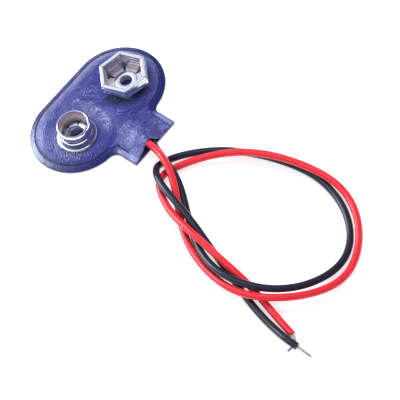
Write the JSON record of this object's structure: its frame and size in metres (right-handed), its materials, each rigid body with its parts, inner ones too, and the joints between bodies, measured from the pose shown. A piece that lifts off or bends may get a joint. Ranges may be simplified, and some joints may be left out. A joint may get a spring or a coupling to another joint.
{
  "type": "9v battery snap",
  "caption": "Soft welded vinyl battery snap with a round stud and a sprung hexagonal socket on its face, and a red and a black lead leaving its tab to bare ends.",
  "frame": {"origin": "on the back face, midway between the axes of the stud and the socket", "axes": "+X from the stud to the socket, -Y towards the tab that the leads leave, +Z out of the face with the contacts"},
  "size_m": [0.031, 0.0666, 0.0049],
  "materials": {
    "vinyl": "grained vinyl, soft sheen",
    "nickel": "bright nickel plate",
    "board": "dull fibre board",
    "solder": "bright solder",
    "tinned": "tinned copper strands",
    "red_pvc": "soft gloss",
    "black_pvc": "soft gloss"
  },
  "bodies": {
    "root": {"front_cover": "vinyl", "back_cover": "vinyl", "contact_board": "board", "snap_stud": "nickel", "snap_socket": "nickel", "stud_eyelet": "nickel", "socket_eyelet": "nickel", "stud_solder": "solder", "socket_solder": "solder", "red_tail": "tinned", "black_tail": "tinned", "red_lead": "red_pvc", "black_lead": "black_pvc", "red_tip": "tinned", "black_tip": "tinned"}
  },
  "joints": []
}
